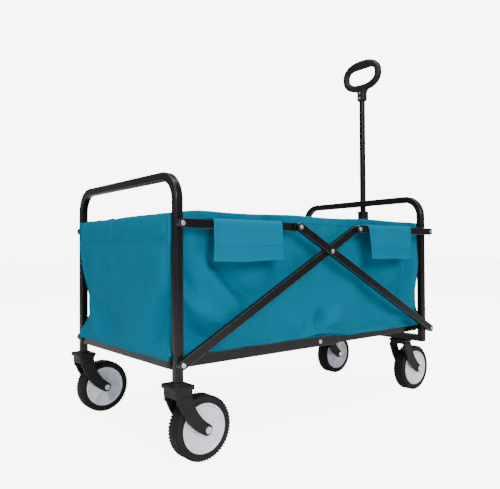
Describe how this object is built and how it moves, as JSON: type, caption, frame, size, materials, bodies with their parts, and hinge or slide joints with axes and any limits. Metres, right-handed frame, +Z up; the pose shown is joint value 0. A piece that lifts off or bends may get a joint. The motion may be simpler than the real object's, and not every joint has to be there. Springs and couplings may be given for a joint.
{
  "type": "folding camp wagon",
  "caption": "Folding camp wagon: fabric tub in a tubular frame with scissor side arms, hinged floor rails, fixed rear wheels, swivel front casters and a telescoping pull handle.",
  "frame": {"origin": "on the ground, under the middle of the wagon's outline", "axes": "+X front (handle end), -Y right side, +Z up"},
  "size_m": [1.04, 0.5772, 1.1275],
  "materials": {
    "frame_tube": "satin black powder coat",
    "tub_cloth": "teal woven polyester, matte",
    "fork_plastic": "fine textured black",
    "grip_plastic": "fine textured black",
    "spacer_plastic": "black",
    "base_board": "black",
    "tyre": "matte",
    "hub": "satin pale grey",
    "rivet_steel": "bright zinc plated"
  },
  "bodies": {
    "rear_frame": {"rear_hoop": "frame_tube", "rear_rim_bar": "frame_tube", "rear_panel": "tub_cloth", "right_rear_fork": "fork_plastic", "left_rear_fork": "fork_plastic", "rear_axles": "rivet_steel", "rear_pivot_rivets": "rivet_steel", "right_side_panel": "tub_cloth", "left_side_panel": "tub_cloth", "right_rear_flap": "tub_cloth", "left_rear_flap": "tub_cloth"},
    "front_frame": {"front_hoop": "frame_tube", "front_lower_tube": "frame_tube", "caster_stem_tubes": "frame_tube", "front_rim_bar": "frame_tube", "front_panel": "tub_cloth", "handle_bracket": "frame_tube", "handle_pivot_bolt": "rivet_steel", "front_pivot_rivets": "rivet_steel", "front_spacers": "spacer_plastic", "right_front_flap": "tub_cloth", "left_front_flap": "tub_cloth"},
    "rear_floor": {"right_rear_rail": "frame_tube", "left_rear_rail": "frame_tube", "rear_floor_tubes": "frame_tube", "rear_floor_board": "base_board", "floor_hinge_rivets": "rivet_steel"},
    "front_floor": {"right_front_rail": "frame_tube", "left_front_rail": "frame_tube", "front_floor_tubes": "frame_tube", "front_floor_board": "base_board"},
    "handle": {"handle_outer_tube": "frame_tube", "handle_collar": "grip_plastic"},
    "handle_top": {"handle_inner_tube": "frame_tube", "handle_grip": "grip_plastic", "grip_rivets": "rivet_steel"},
    "right_inner_arm": {"right_inner_arm": "frame_tube"},
    "right_outer_arm": {"right_outer_arm": "frame_tube", "right_outer_arm_rivets": "rivet_steel"},
    "right_rear_link": {"right_rear_link": "frame_tube"},
    "right_front_link": {"right_front_link": "frame_tube", "right_front_link_rivet": "rivet_steel"},
    "right_caster": {"right_caster_fork": "fork_plastic", "right_caster_axle": "rivet_steel"},
    "right_rear_wheel": {"right_rear_tyre": "tyre", "right_rear_hub": "hub"},
    "right_front_wheel": {"right_front_tyre": "tyre", "right_front_hub": "hub"},
    "left_inner_arm": {"left_inner_arm": "frame_tube"},
    "left_outer_arm": {"left_outer_arm": "frame_tube", "left_outer_arm_rivets": "rivet_steel"},
    "left_rear_link": {"left_rear_link": "frame_tube"},
    "left_front_link": {"left_front_link": "frame_tube", "left_front_link_rivet": "rivet_steel"},
    "left_caster": {"left_caster_fork": "fork_plastic", "left_caster_axle": "rivet_steel"},
    "left_rear_wheel": {"left_rear_tyre": "tyre", "left_rear_hub": "hub"},
    "left_front_wheel": {"left_front_tyre": "tyre", "left_front_hub": "hub"}
  },
  "joints": [
    {"name": "fold", "type": "hinge", "parent": "rear_frame", "child": "right_inner_arm", "pos_m": [-0.497, -0.25, 0.214], "axis": [0, -1, 0], "range_deg": [0, 53.2], "deforming": ["right_side_panel", "left_side_panel", "right_rear_flap", "left_rear_flap", "right_front_flap", "left_front_flap"]},
    {"name": "right_crossing", "type": "hinge", "parent": "right_inner_arm", "child": "right_outer_arm", "pos_m": [-0.052, -0.25, 0.45224], "axis": [0, 1, 0], "range_deg": [0, 106.4]},
    {"name": "front_frame_pivot", "type": "hinge", "parent": "right_outer_arm", "child": "front_frame", "pos_m": [0.393, -0.25, 0.214], "axis": [0, -1, 0], "range_deg": [0, 53.2]},
    {"name": "left_arm_pivot", "type": "hinge", "parent": "rear_frame", "child": "left_inner_arm", "pos_m": [-0.497, 0.25, 0.214], "axis": [0, -1, 0], "range_deg": [0, 53.2]},
    {"name": "left_crossing", "type": "hinge", "parent": "left_inner_arm", "child": "left_outer_arm", "pos_m": [-0.052, 0.25, 0.45224], "axis": [0, 1, 0], "range_deg": [0, 106.4]},
    {"name": "right_rear_link_pivot", "type": "hinge", "parent": "rear_frame", "child": "right_rear_link", "pos_m": [-0.497, -0.25, 0.512], "axis": [0, -1, 0], "range_deg": [0, 80.09]},
    {"name": "right_front_link_pivot", "type": "hinge", "parent": "front_frame", "child": "right_front_link", "pos_m": [0.393, -0.25, 0.512], "axis": [0, 1, 0], "range_deg": [0, 80.09]},
    {"name": "left_rear_link_pivot", "type": "hinge", "parent": "rear_frame", "child": "left_rear_link", "pos_m": [-0.497, 0.25, 0.512], "axis": [0, -1, 0], "range_deg": [0, 80.09]},
    {"name": "left_front_link_pivot", "type": "hinge", "parent": "front_frame", "child": "left_front_link", "pos_m": [0.393, 0.25, 0.512], "axis": [0, 1, 0], "range_deg": [0, 80.09]},
    {"name": "rear_floor_pivot", "type": "hinge", "parent": "rear_frame", "child": "rear_floor", "pos_m": [-0.497, 0, 0.214], "axis": [0, -1, 0], "range_deg": [0, 80.16]},
    {"name": "front_floor_pivot", "type": "hinge", "parent": "front_frame", "child": "front_floor", "pos_m": [0.393, 0, 0.214], "axis": [0, 1, 0], "range_deg": [0, 80.16]},
    {"name": "handle_tilt", "type": "hinge", "parent": "front_frame", "child": "handle", "pos_m": [0.424, 0, 0.1804], "axis": [0, 1, 0], "range_deg": [0, 90]},
    {"name": "handle_slide", "type": "slide", "parent": "handle", "child": "handle_top", "axis": [0, 0, 1], "range_m": [-0.3, 0]},
    {"name": "right_caster_swivel", "type": "hinge", "parent": "front_frame", "child": "right_caster", "pos_m": [0.393, -0.17, 0.1804], "axis": [0, 0, 1], "continuous": true},
    {"name": "right_front_wheel_spin", "type": "hinge", "parent": "right_caster", "child": "right_front_wheel", "pos_m": [0.449, -0.17, 0.071], "axis": [0, 1, 0], "continuous": true},
    {"name": "right_rear_wheel_spin", "type": "hinge", "parent": "rear_frame", "child": "right_rear_wheel", "pos_m": [-0.441, -0.25, 0.071], "axis": [0, 1, 0], "continuous": true},
    {"name": "left_caster_swivel", "type": "hinge", "parent": "front_frame", "child": "left_caster", "pos_m": [0.393, 0.17, 0.1804], "axis": [0, 0, 1], "continuous": true},
    {"name": "left_front_wheel_spin", "type": "hinge", "parent": "left_caster", "child": "left_front_wheel", "pos_m": [0.449, 0.17, 0.071], "axis": [0, 1, 0], "continuous": true},
    {"name": "left_rear_wheel_spin", "type": "hinge", "parent": "rear_frame", "child": "left_rear_wheel", "pos_m": [-0.441, 0.25, 0.071], "axis": [0, 1, 0], "continuous": true}
  ],
  "couplings": [
    {"joint": "right_crossing", "follows": "fold", "ratio": 2},
    {"joint": "front_frame_pivot", "follows": "fold", "ratio": 1},
    {"joint": "left_arm_pivot", "follows": "fold", "ratio": 1},
    {"joint": "left_crossing", "follows": "fold", "ratio": 2},
    {"joint": "right_rear_link_pivot", "follows": "fold", "ratio": 1.5055},
    {"joint": "right_front_link_pivot", "follows": "fold", "ratio": 1.5055},
    {"joint": "left_rear_link_pivot", "follows": "fold", "ratio": 1.5055},
    {"joint": "left_front_link_pivot", "follows": "fold", "ratio": 1.5055},
    {"joint": "rear_floor_pivot", "follows": "fold", "ratio": 1.5067},
    {"joint": "front_floor_pivot", "follows": "fold", "ratio": 1.5067}
  ]
}
